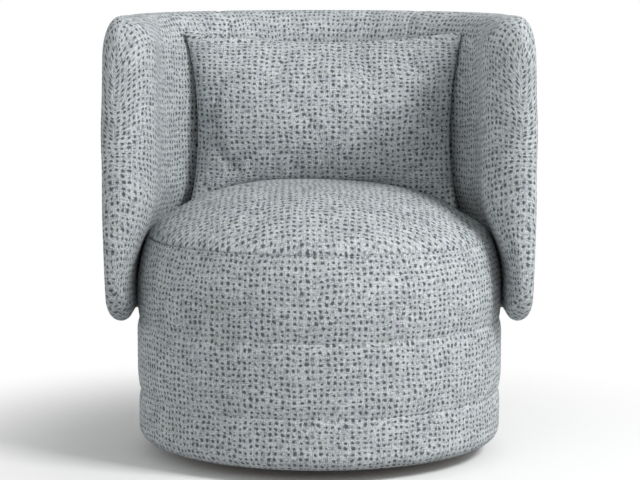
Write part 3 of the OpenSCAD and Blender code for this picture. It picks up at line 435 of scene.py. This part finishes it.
def wing_panel(name, side):
    """A wing: its section is carried from the seam along the inside, round the nose and back along the
    outside. Rows are the stations of that path, and columns the levels from the lower crest to the upper one.
    The rows of the weave climb towards the nose, most at the top."""
    angle, reach = wing_path()
    z0 = BACK_Z + corner_drop(reach, BOTTOM_CORNER_R)
    z1 = BACK_TOP_Z - corner_drop(reach, TOP_CORNER_R)
    lean = smooth_step(0, WING_REACH - NOSE_IN_LEN, reach)
    full_out = rounding(reach, NOSE_OUT_LEN, NOSE_OUT_POWER)
    full_in = rounding(reach, NOSE_IN_LEN, NOSE_IN_POWER)
    out_r, z = back_side(z0, z1, full_out, lean, True)
    in_r, z = back_side(z0, z1, full_in, lean, False)
    along = BACK_OUT_R * angle + reach
    in_r, _ = loosened(in_r, z, along, along[:1], full_in, 23, -1)
    out_r, z = loosened(out_r, z, along, along[:1], full_out, 21, 1)
    there_and_back = np.concatenate([np.arange(len(angle)), np.arange(len(angle) - 2, -1, -1)])
    radius = np.concatenate([in_r, out_r[-2::-1]])
    angle, reach, z = angle[there_and_back, None], reach[there_and_back, None], z[there_and_back]
    x = side * radius * np.sin(angle)
    y = AXIS_Y + radius * np.cos(angle) - reach
    points = np.stack([x, y, z], axis=-1)
    level = points.shape[1] // 2
    u = arc_length(points[:, level])
    u = u - u[len(u) // 2]
    v = arc_length(points[0])
    cloth = np.stack(np.broadcast_arrays(u[:, None] * side, v[None, :] + 0 * z), axis=-1)
    cloth[..., 1] += (z0[there_and_back, None] - BACK_Z) * (1 - smooth_step(0, ROW_LEVEL_H, v[None, :]))
    turned = np.clip(angle - ROW_RISE_FROM, 0, None) * BACK_OUT_R + reach
    forward = turned / ((math.pi / 2 - ROW_RISE_FROM) * BACK_OUT_R + WING_REACH)
    height = (z - BACK_Z) / (BACK_TOP_Z - BACK_Z)
    cloth[..., 1] -= ROW_RISE * forward**2 * smooth_step(-0.2, 1, height)
    if side > 0:
        points, cloth = points[::-1], cloth[::-1]
    return grid_piece(name, points, cloth, capped=True)


def back_panel():
    """The back between the two panel seams: one section, turned round the axis."""
    angle = np.linspace(-PANEL_ANGLE, PANEL_ANGLE, 90)[:, None]
    full = np.ones(len(angle))
    flat = BACK_Z * full, BACK_TOP_Z * full, full, 0 * full
    out_r, z = back_side(*flat, True)
    in_r, z = back_side(*flat, False)
    along = (angle * BACK_OUT_R)[:, 0]
    in_r, _ = loosened(in_r, z, along, along[[0, -1]], full, 24, -1)
    out_r, z = loosened(out_r, z, along, along[[0, -1]], full, 22, 1)
    radius = np.hstack([out_r, in_r[:, -2:0:-1]])
    z = np.hstack([z, z[:, -2:0:-1]])
    points = np.stack([radius * np.sin(angle), AXIS_Y + radius * np.cos(angle), z], axis=-1)
    middle = points[len(points) // 2]
    v = arc_length(np.concatenate([middle, middle[:1]]))
    cloth = np.stack(np.broadcast_arrays(along[:, None], v[None, :]), axis=-1)
    return grid_piece("back_panel", points, cloth, wrap=True, closed_ends=True)


# Loose pillow


def pressed(points):
    """The pillow's points, moved towards the swivel axis in front of the padded back, and up onto the seat,
    where they would be inside."""
    x, y, z = points[..., 0], points[..., 1] - AXIS_Y, points[..., 2]
    share = np.minimum(1, (back_in(z) - BACK_CLEAR) / np.hypot(x, y))
    x, y = x * share, y * share
    return np.stack([x, AXIS_Y + y, np.maximum(z, dome_height(x, y) + PILLOW_GAP)], axis=-1)


def level_rows(sheet):
    """Cloth coordinates of a standing sheet (rows, columns, 3) whose rows of weave run level: across by the
    way along each row from the middle, and upwards by the way up the middle column to the same height."""
    middle = sheet.shape[1] // 2
    across = arc_length(sheet, axis=1)
    height, column = sheet[..., 2], sheet[:, middle, 2]
    upwards = np.interp(height, column, arc_length(sheet[:, middle]))
    upwards = upwards + np.minimum(height - column[0], 0) + np.maximum(height - column[-1], 0)
    return np.stack([across - across[:, middle : middle + 1], upwards], axis=-1)


def pillow(columns=84, rows=60):
    """Two panels joined at a knife edge, with drawn-in sides and top and a foot that lies on the seat. u runs
    from -1 to 1 across, and v from -1 to 1 upwards. The rim bows back in the middle, most at the top, and
    along the sides. Each panel stands off it by a power of (1 - u^2)(1 - s^2), where s is v with its middle
    moved down a little, because the filling has sagged. The rear is pressed against the padded back."""
    u = -np.cos(np.linspace(0, math.pi, columns))[:, None]
    v = -np.cos(np.linspace(0, math.pi, rows))[None, :]
    bow = PILLOW_BOW + (PILLOW_TOP_BOW - PILLOW_BOW) * ((1 + v) / 2) ** 2
    left_y = LEFT_CORNER_Y - PILLOW_LEAN
    corner = left_y + (RIGHT_CORNER_Y - left_y) * (1 + u) / 2
    rim = corner + bow * (1 - u * u) + PILLOW_SIDE_BACK * u**4 * (1 - v**4) + PILLOW_LEAN * v
    drawn_in_by = PILLOW_SIDE_IN * (1 - v * v) + PILLOW_FOOT_IN * ((1 - v) / 2) ** 2
    x = PILLOW_SHIFT + u * (PILLOW_HALF_W - drawn_in_by)
    top = PILLOW_TOP_Z + PILLOW_PEAK - PILLOW_TOP_IN * (1 - u * u)
    foot = dome_height(x[:, :1], rim[:, :1])
    foot = foot + (PILLOW_TOP_Z - PILLOW_H - foot[0, 0]) * u**4
    z = (top + foot) / 2 + v * (top - foot) / 2
    sunk = v + PILLOW_SAG * (1 - v * v)
    inside = np.clip((1 - u * u) * (1 - sunk * sunk), 0, None)
    sheets = [rim - PILLOW_FRONT * inside**PILLOW_FRONT_POWER, rim + PILLOW_REAR * inside**PILLOW_REAR_POWER]
    front, rear = (pressed(np.stack([x, AXIS_Y + y, z], axis=-1)).transpose(1, 0, 2) for y in sheets)
    points = np.concatenate([front, rear[-2::-1]])
    cloth = level_rows(front)
    behind = level_rows(rear)
    behind[..., 1] = cloth[-1, :, 1] + arc_length(rear[::-1])[::-1]
    cloth = np.concatenate([cloth, behind[-2::-1]])
    near_rim = 1 - smooth_step(0, PILLOW_HELD, inside.T)
    held = np.concatenate([near_rim, near_rim[-2::-1]])
    return grid_piece("back_pillow_cloth", points, cloth, capped=True, held=held)


# Air in the padding


def vertex_places(mesh):
    """The mesh's points as one array (points, 3)."""
    places = np.empty(3 * len(mesh.vertices))
    mesh.vertices.foreach_get("co", places)
    return places.reshape(-1, 3)


def puffed(piece, held, inset, cap, slack, pressure=4.0, frames=20):
    """Cloth with air in it: the skin starts inset inwards, swells for some frames without gravity and keeps
    that shape. held (0 to 1 at each point) says how firmly a point stays, and none moves further than cap.
    The cloth is larger than its start by the share slack."""
    mesh = piece.data
    normals = np.empty(3 * len(mesh.vertices))
    mesh.vertex_normals.foreach_get("vector", normals)
    start = vertex_places(mesh) - inset * (1 - held[:, None]) * normals.reshape(-1, 3)
    mesh.vertices.foreach_set("co", start.ravel())
    mesh.update()
    group = piece.vertex_groups.new(name="held")
    levels = np.round(held * 10).astype(int)
    for level in range(1, 11):
        group.add(np.flatnonzero(levels == level).tolist(), level / 10, "REPLACE")
    cloth = piece.modifiers.new("air", "CLOTH")
    cloth.settings.use_pressure = True
    cloth.settings.uniform_pressure_force = pressure
    cloth.settings.vertex_group_mass = group.name
    cloth.settings.effector_weights.gravity = 0
    cloth.settings.shrink_min = -slack
    for step in range(frames):
        bpy.context.scene.frame_set(step + 1)
    swollen = piece.evaluated_get(bpy.context.evaluated_depsgraph_get())
    move = vertex_places(swollen.data) - start
    length = np.linalg.norm(move, axis=1, keepdims=True)
    piece.modifiers.remove(cloth)
    piece.vertex_groups.remove(group)
    bpy.context.scene.frame_set(1)
    mesh.vertices.foreach_set("co", (start + move * np.minimum(1, cap / np.maximum(length, 1e-9))).ravel())
    mesh.update()


def seat_air(piece):
    """The seat is held along its seam and underneath."""
    x, y, z = vertex_places(piece.data).T
    rho = np.hypot(x, y - AXIS_Y)
    held = np.maximum(smooth_step(SEAM_R - 60 * MM, SEAM_R - 12 * MM, rho), z < SEAM_Z)
    puffed(piece, held, 6 * MM, 9 * MM, 0.012)


def pillow_air(piece):
    """The pillow is held at its knife edge, and afterwards pressed against the back and the seat again."""
    held = np.empty(len(piece.data.vertices))
    piece.data.attributes["held"].data.foreach_get("value", held)
    puffed(piece, held, 5 * MM, 10 * MM, 0.015)
    places = pressed(vertex_places(piece.data))
    piece.data.vertices.foreach_set("co", places.ravel())
    piece.data.update()


# Materials


class Value:
    """A node's output that sums and products can be written with; each operator adds one Math node."""

    def __init__(self, paint, socket):
        self.paint = paint
        self.socket = socket

    def math(self, operation, *others):
        """A Math node of that operation on this value and the others."""
        sockets = dict(enumerate([self, *others]))
        return self.paint.node("ShaderNodeMath", {"operation": operation}, sockets)

    def __add__(self, other):
        return self.math("ADD", other)

    def __sub__(self, other):
        return self.math("SUBTRACT", other)

    def __mul__(self, other):
        return self.math("MULTIPLY", other)

    def __rsub__(self, other):
        return self.paint.node("ShaderNodeMath", {"operation": "SUBTRACT"}, {0: other, 1: self})

    def out(self, name):
        """Another output of the same node."""
        return Value(self.paint, self.socket.node.outputs[name])

    __radd__ = __add__
    __rmul__ = __mul__


class Tree:
    """A node tree, and the nodes that are added to it."""

    def __init__(self, tree):
        self.tree = tree

    def node(self, kind, settings=None, sockets=None, output=0):
        """Adds a node of that type: settings first, then a value or a link for each socket. Returns one of
        its outputs."""
        made = self.tree.nodes.new(kind)
        for key, value in (settings or {}).items():
            setattr(made, key, value)
        for key, value in (sockets or {}).items():
            if isinstance(value, Value):
                self.tree.links.new(value.socket, made.inputs[key])
            else:
                made.inputs[key].default_value = value
        return Value(self, made.outputs[output])

    def mixed(self, factor, first, second, end):
        """Leads the mix of two shaders to the tree's output node."""
        mix = self.node("ShaderNodeMixShader", {}, {0: factor, 1: first, 2: second})
        self.tree.links.new(mix.socket, self.tree.nodes[end].inputs["Surface"])

    def colour(self, factor, first, second):
        """First colour where factor is 0, second where it is 1."""
        first = first if isinstance(first, Value) else (*first, 1)
        second = second if isinstance(second, Value) else (*second, 1)
        settings = {"data_type": "RGBA", "clamp_factor": True}
        return self.node("ShaderNodeMix", settings, {0: factor, 6: first, 7: second}, output=2)

    def step(self, value, low_edge, high_edge):
        """0 below low_edge, 1 above high_edge, smooth between."""
        settings = {"interpolation_type": "SMOOTHSTEP"}
        sockets = {"Value": value, "From Min": low_edge, "From Max": high_edge}
        return self.node("ShaderNodeMapRange", settings, sockets)

    def noise(self, vector, scale, detail=2.0, rough=0.5):
        """Noise of 0 to 1, scale to the metre."""
        sockets = {"Vector": vector, "Scale": scale, "Detail": detail, "Roughness": rough}
        return self.node("ShaderNodeTexNoise", {}, sockets)

    def vector(self, operation, first, second):
        return self.node("ShaderNodeVectorMath", {"operation": operation}, {0: first, 1: second})

    def wander(self, place, scale, amount):
        """A smooth vector field of about half of amount either way, by which threads stray."""
        sockets = {"Vector": place, "Scale": scale, "Detail": 2.0}
        field = self.node("ShaderNodeTexNoise", {}, sockets, output="Color")
        return self.vector("MULTIPLY", self.vector("SUBTRACT", field, (0.5, 0.5, 0.5)), (amount, amount, 0))

    def spots(self, place, pitch, stray):
        """Distance from the nearest of a grid's points, in steps of the grid. stray is how far they leave
        it."""
        grid = self.stretched(place, (1 / pitch[0], 1 / pitch[1], 1.0))
        settings = {"voronoi_dimensions": "2D", "distance": "EUCLIDEAN"}
        sockets = {"Vector": grid, "Scale": 1.0, "Randomness": stray}
        return self.node("ShaderNodeTexVoronoi", settings, sockets, output="Distance")

    def place(self):
        """Object coordinates, in metres."""
        return self.node("ShaderNodeTexCoord", output="Object")

    def stretched(self, vector, scale):
        return self.node("ShaderNodeMapping", {}, {"Vector": vector, "Scale": scale})


class Paint(Tree):
    """One material: its tree and its shader, whose constant inputs are given by name."""

    def __init__(self, name, **constants):
        self.material = bpy.data.materials.new(name)
        self.material.use_nodes = True
        super().__init__(self.material.node_tree)
        self.shader = self.tree.nodes["Principled BSDF"]
        for socket, value in constants.items():
            self.shader.inputs[socket.replace("_", " ")].default_value = value

    def finish(self, base=None, rough=None, height=None, distance=0.001, strength=0.5):
        """Links the varying inputs of the shader and returns the material."""
        if base is not None:
            self.tree.links.new(base.socket, self.shader.inputs["Base Color"])
        if rough is not None:
            self.tree.links.new(rough.socket, self.shader.inputs["Roughness"])
        if height is not None:
            sockets = {"Height": height, "Distance": distance, "Strength": strength}
            bump = self.node("ShaderNodeBump", {}, sockets)
            self.tree.links.new(bump.socket, self.shader.inputs["Normal"])
        return self.material


YARN_LIGHT = (0.640, 0.680, 0.690)
YARN_GREY = (0.240, 0.266, 0.280)
YARN_LILAC = (0.430, 0.415, 0.520)
YARN_GREEN = (0.400, 0.480, 0.400)
TUFT_DARK = (0.076, 0.090, 0.100)
TUFT_PITCH = (11.4 * MM, 10.6 * MM)
YARN_PITCH = 2.6 * MM


def basket_cloth():
    """Heathered pale yarns in a basket weave, with rows of dark tufts that are ragged and unlike in size,
    strayed specks between them, and faint lilac and green patches, all on the cloth's own coordinates in
    metres."""
    sheen = {"Sheen_Weight": 0.08, "Sheen_Roughness": 0.5}
    paint = Paint("basket_cloth", Roughness=0.92, Specular_IOR_Level=0.15, **sheen)
    cloth = paint.node("ShaderNodeUVMap", {"uv_map": "cloth"})
    slow = paint.wander(cloth, 15.0, 0.020)
    quick = paint.wander(cloth, 90.0, 0.0035)
    bent = paint.vector("ADD", cloth, paint.vector("ADD", slow, quick))
    ragged = paint.noise(cloth, 430.0, 2.0, 0.7) - 0.5
    tufts = paint.spots(bent, TUFT_PITCH, 0.30)
    chance = paint.node("ShaderNodeSeparateColor", {}, {0: tufts.out("Color")})
    reach = tufts + ragged * 0.55 - chance.out("Green") * 0.12
    tuft = (1 - paint.step(reach, 0.07, 0.31)) * (paint.step(chance, 0.0, 0.35) * 0.4 + 0.6)
    moved = paint.vector("ADD", bent, (0.55 * TUFT_PITCH[0], 0.12 * TUFT_PITCH[1], 0))
    specks = paint.spots(moved, TUFT_PITCH, 0.8)
    rare = paint.node("ShaderNodeSeparateColor", {}, {0: specks.out("Color")})
    speck = (1 - paint.step(specks + ragged * 0.3, 0.05, 0.20)) * paint.step(rare, 0.45, 0.75)
    rows = paint.node("ShaderNodeSeparateXYZ", {}, {0: bent})
    turn = 2 * math.pi / YARN_PITCH
    weave = (rows * turn).math("SINE") * (rows.out("Y") * turn).math("SINE") * 0.5 + 0.5
    heather = paint.noise(cloth, 330.0, 3.0, 0.8)
    along = paint.noise(paint.stretched(bent, (70.0, 520.0, 1.0)), 1.0, 2.0)
    across = paint.noise(paint.stretched(bent, (520.0, 70.0, 1.0)), 1.0, 2.0)
    cloud = paint.noise(cloth, 24.0, 2.0)
    threads = (along + across - 1) * 1.8
    pale = (heather - 0.5) * 3.0 + threads + (cloud - 0.5) * 0.8 + (weave - 0.5) * 0.2 + 0.54
    ground = paint.colour(paint.step(pale, -0.15, 1.1), YARN_GREY, YARN_LIGHT)
    patch = paint.noise(cloth, 34.0, 2.0)
    ground = paint.colour(paint.step(patch, 0.60, 0.72) * 0.35, ground, YARN_LILAC)
    ground = paint.colour(paint.step(1 - patch, 0.60, 0.72) * 0.30, ground, YARN_GREEN)
    dark = (tuft * 0.95 + speck * 0.55).math("MINIMUM", 1.0)
    base = paint.colour(dark, ground, TUFT_DARK)
    height = weave * 0.35 + pale * 0.5 - dark * 0.8
    return paint.finish(base=base, height=height, distance=0.0014, strength=0.5)


def plywood():
    """Pale plies in thin layers, with long grain and darker glue lines."""
    paint = Paint("plywood", Roughness=0.6)
    place = paint.place()
    grain = paint.noise(paint.stretched(place, (9.0, 90.0, 60.0)), 3.0, 4.0, 0.6)
    height = paint.node("ShaderNodeSeparateXYZ", {}, {0: place}).out("Z")
    ply = (height * (2 * math.pi / (3 * MM))).math("SINE") * 0.5 + 0.5
    base = paint.colour(grain, (0.56, 0.39, 0.22), (0.74, 0.58, 0.38))
    base = paint.colour(paint.step(ply, 0.75, 1.0) * 0.35, base, (0.30, 0.18, 0.09))
    return paint.finish(base=base, rough=grain * 0.2 + 0.5, height=grain, distance=0.0003)


def softwood():
    """Planed softwood with growth lines that run up the posts."""
    paint = Paint("softwood", Roughness=0.6)
    place = paint.stretched(paint.place(), (60.0, 60.0, 4.0))
    ring = paint.noise(place, 1.2, 3.0, 0.55)
    base = paint.colour(paint.step(ring, 0.35, 0.7), (0.66, 0.47, 0.27), (0.47, 0.28, 0.13))
    return paint.finish(base=base, rough=ring * 0.2 + 0.5, height=ring, distance=0.0003)


def coated_steel(name, dark, light):
    """Powder-coated steel: an orange-peel skin with dust in its hollows."""
    paint = Paint(name, Metallic=0.0, Coat_Weight=0.2)
    place = paint.place()
    peel = paint.noise(place, 900.0, 2.0)
    dust = paint.noise(place, 14.0, 4.0, 0.6)
    base = paint.colour(paint.step(dust, 0.4, 0.8), dark, light)
    return paint.finish(base=base, rough=dust * 0.25 + 0.32, height=peel, distance=0.0002, strength=0.3)


def zinc_steel():
    """Bright zinc plating with fine drawn lines and dull patches."""
    paint = Paint("zinc_steel", Metallic=1.0)
    place = paint.place()
    line = paint.noise(paint.stretched(place, (900.0, 900.0, 60.0)), 1.0, 2.0)
    patch = paint.noise(place, 40.0, 3.0)
    base = paint.colour(patch, (0.52, 0.53, 0.54), (0.74, 0.74, 0.72))
    return paint.finish(base=base, rough=line * 0.15 + patch * 0.2 + 0.18, height=line, distance=0.0001)


def stamped_brass():
    """Sheet brass with duller patches."""
    paint = Paint("stamped_brass", Metallic=1.0)
    patch = paint.noise(paint.place(), 70.0, 3.0)
    base = paint.colour(patch, (0.62, 0.42, 0.14), (0.80, 0.62, 0.28))
    return paint.finish(base=base, rough=patch * 0.2 + 0.25, height=patch, distance=0.0001)


def moulded(name, dark, light, roughness):
    """Moulded rubber, nylon or plastic with a faint grain."""
    paint = Paint(name)
    place = paint.place()
    grain = paint.noise(place, 420.0, 3.0)
    patch = paint.noise(place, 30.0, 2.0)
    base = paint.colour(patch, dark, light)
    return paint.finish(base=base, rough=grain * 0.2 + roughness, height=grain, distance=0.0002)


def strap_webbing():
    """Elastic webbing: ribs along the strap and crossing threads."""
    paint = Paint("strap_webbing", Roughness=0.85)
    place = paint.node("ShaderNodeSeparateXYZ", {}, {0: paint.place()})
    turn = 2 * math.pi / (4 * MM)
    rib = (place * turn).math("SINE") * (place.out("Y") * turn).math("SINE")
    base = paint.colour(rib * 0.5 + 0.5, (0.025, 0.025, 0.028), (0.11, 0.11, 0.12))
    return paint.finish(base=base, height=rib, distance=0.0006)


# Stage


def lamp(name, place, aim, size, watts):
    """A square soft light at place that points at aim."""
    data = bpy.data.lights.new(name, "AREA")
    data.shape, data.size, data.energy = "SQUARE", size, watts
    made = bpy.data.objects.new(name, data)
    direction = np.array(aim, float) - np.array(place, float)
    x, y, z = direction / np.linalg.norm(direction)
    made.location = place
    made.rotation_euler = (math.acos(-z), 0, math.atan2(y, x) - math.pi / 2)
    bpy.context.scene.collection.objects.link(made)


def seen_directly(paint):
    """1 for rays that should see the plain backdrop: from the camera, and in reflections and glass."""
    path = paint.node("ShaderNodeLightPath", output="Is Camera Ray")
    either = path.math("MAXIMUM", path.out("Is Glossy Ray"))
    return either.math("MAXIMUM", path.out("Is Transmission Ray"))


def world_light(walls, roof):
    """Even light from all round and a weaker one from above, in front of a white backdrop."""
    world = bpy.data.worlds.new("studio")
    bpy.context.scene.world = world
    world.use_nodes = True
    paint = Tree(world.node_tree)
    light = paint.tree.nodes["Background"]
    light.inputs["Color"].default_value = (1, 1, 1, 1)
    light.inputs["Strength"].default_value = walls
    above = paint.node("ShaderNodeBackground", {}, {"Color": (1, 1, 1, 1), "Strength": roof})
    white = paint.node("ShaderNodeBackground", {}, {"Color": (1, 1, 1, 1)})
    direction = paint.node("ShaderNodeTexCoord", output="Generated")
    height = paint.node("ShaderNodeSeparateXYZ", {}, {0: direction}).out("Z")
    sides = Value(paint, light.outputs[0])
    tent = paint.node("ShaderNodeMixShader", {}, {0: paint.step(height, 0.35, 0.75), 1: sides, 2: above})
    paint.mixed(seen_directly(paint), tent, white, "World Output")


def floor(half=40.0, near=0.4, far=1.0):
    """A wide pale floor at the height that the chair stands on. Seen directly it is nearly white and turns
    white away from the chair; the light that it sends back up is that of a greyer one."""
    corners = [(-half, -half, 0), (half, -half, 0), (half, half, 0), (-half, half, 0)]
    mesh = bpy.data.meshes.new("floor")
    mesh.from_pydata(corners, [], [(0, 1, 2, 3)])
    piece = bpy.data.objects.new("floor", mesh)
    bpy.context.scene.collection.objects.link(piece)
    paint = Paint("pale_floor", Roughness=1.0, Specular_IOR_Level=0.0)
    place = paint.place()
    paint.finish(base=paint.colour(paint.noise(place, 3.0), (0.93, 0.93, 0.93), (0.95, 0.95, 0.95)))
    grey = paint.node("ShaderNodeBsdfDiffuse", {}, {"Color": (0.5, 0.5, 0.5, 1)})
    pale = Value(paint, paint.shader.outputs[0])
    seen = seen_directly(paint)
    shadowed = paint.node("ShaderNodeMixShader", {}, {0: seen, 1: grey, 2: pale})
    distance = paint.node("ShaderNodeVectorMath", {"operation": "LENGTH"}, {0: place}, output="Value")
    white = paint.node("ShaderNodeEmission", {}, {"Color": (1, 1, 1, 1)})
    paint.mixed(paint.step(distance, near, far) * seen, shadowed, white, "Material Output")
    mesh.materials.append(paint.material)


CAMERA_AHEAD, CAMERA_Z, CAMERA_DOWN = 4.381, 0.9305, math.radians(6.998)
LENS, SENSOR_W = 132.6, 36.0
IMAGE_W, PIXELS_LEFT = 640, 0.7


def camera():
    """The photograph's viewpoint: a long lens in front of the chair, a little above its back."""
    data = bpy.data.cameras.new("camera")
    data.sensor_width, data.lens = SENSOR_W, LENS
    data.shift_x = PIXELS_LEFT / IMAGE_W
    made = bpy.data.objects.new("camera", data)
    made.location = (0, AXIS_Y - CAMERA_AHEAD, CAMERA_Z)
    made.rotation_euler = (math.pi / 2 - CAMERA_DOWN, 0, 0)
    bpy.context.scene.collection.objects.link(made)
    bpy.context.scene.camera = made


camera()
world_light(1.13, 0.25)
lamp("key", (2.92, -1.97, 3.41), (0, 0, 0.45), 1.3, 158)
floor()

weave = basket_cloth()


def dress(piece, body, nodes, air=None):
    """Air, cloth, body and replaced solids of one soft piece."""
    if air:
        air(piece)
    piece.data.materials.append(weave)
    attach(piece, body)
    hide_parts(*nodes)


dress(seat_top(), "chair", ["seat_cover", "seat_foam"], seat_air)
dress(seat_band(), "chair", ["seat_band_cover", "seat_band_foam"])
dress(middle_band(), "chair", ["middle_band_cover", "middle_band_foam"])
dress(bottom_band(), "chair", ["bottom_band_cover", "bottom_band_foam"])
dress(back_panel(), "chair", ["back_pad"])
dress(wing_panel("right_wing", 1), "chair", ["right_wing_pad"])
dress(wing_panel("left_wing", -1), "chair", ["left_wing_pad"])
dress(pillow(), "pillow", ["back_pillow"], pillow_air)

SLOT_MATERIAL = {
    "plywood": plywood(),
    "solid_wood": softwood(),
    "black_steel": coated_steel("black_steel", (0.012, 0.012, 0.014), (0.05, 0.05, 0.055)),
    "grey_steel": coated_steel("grey_steel", (0.09, 0.09, 0.10), (0.20, 0.20, 0.21)),
    "zinc_steel": zinc_steel(),
    "cage_brass": stamped_brass(),
    "rubber": moulded("rubber", (0.02, 0.02, 0.02), (0.05, 0.05, 0.05), 0.7),
    "nylon": moulded("nylon", (0.72, 0.70, 0.64), (0.84, 0.82, 0.77), 0.4),
    "black_plastic": moulded("black_plastic", (0.02, 0.02, 0.022), (0.05, 0.05, 0.052), 0.5),
    "webbing": strap_webbing(),
    "foam": moulded("foam", (0.80, 0.72, 0.50), (0.88, 0.82, 0.62), 0.8),
    "upholstery": weave,
}
for row in frame["record"]["subparts"]:
    mesh = frame["nodes"][row["node"]].data
    mesh.materials.clear()
    mesh.materials.append(SLOT_MATERIAL[row["material_slot"]])

bpy.context.scene.view_settings.view_transform = "Standard"
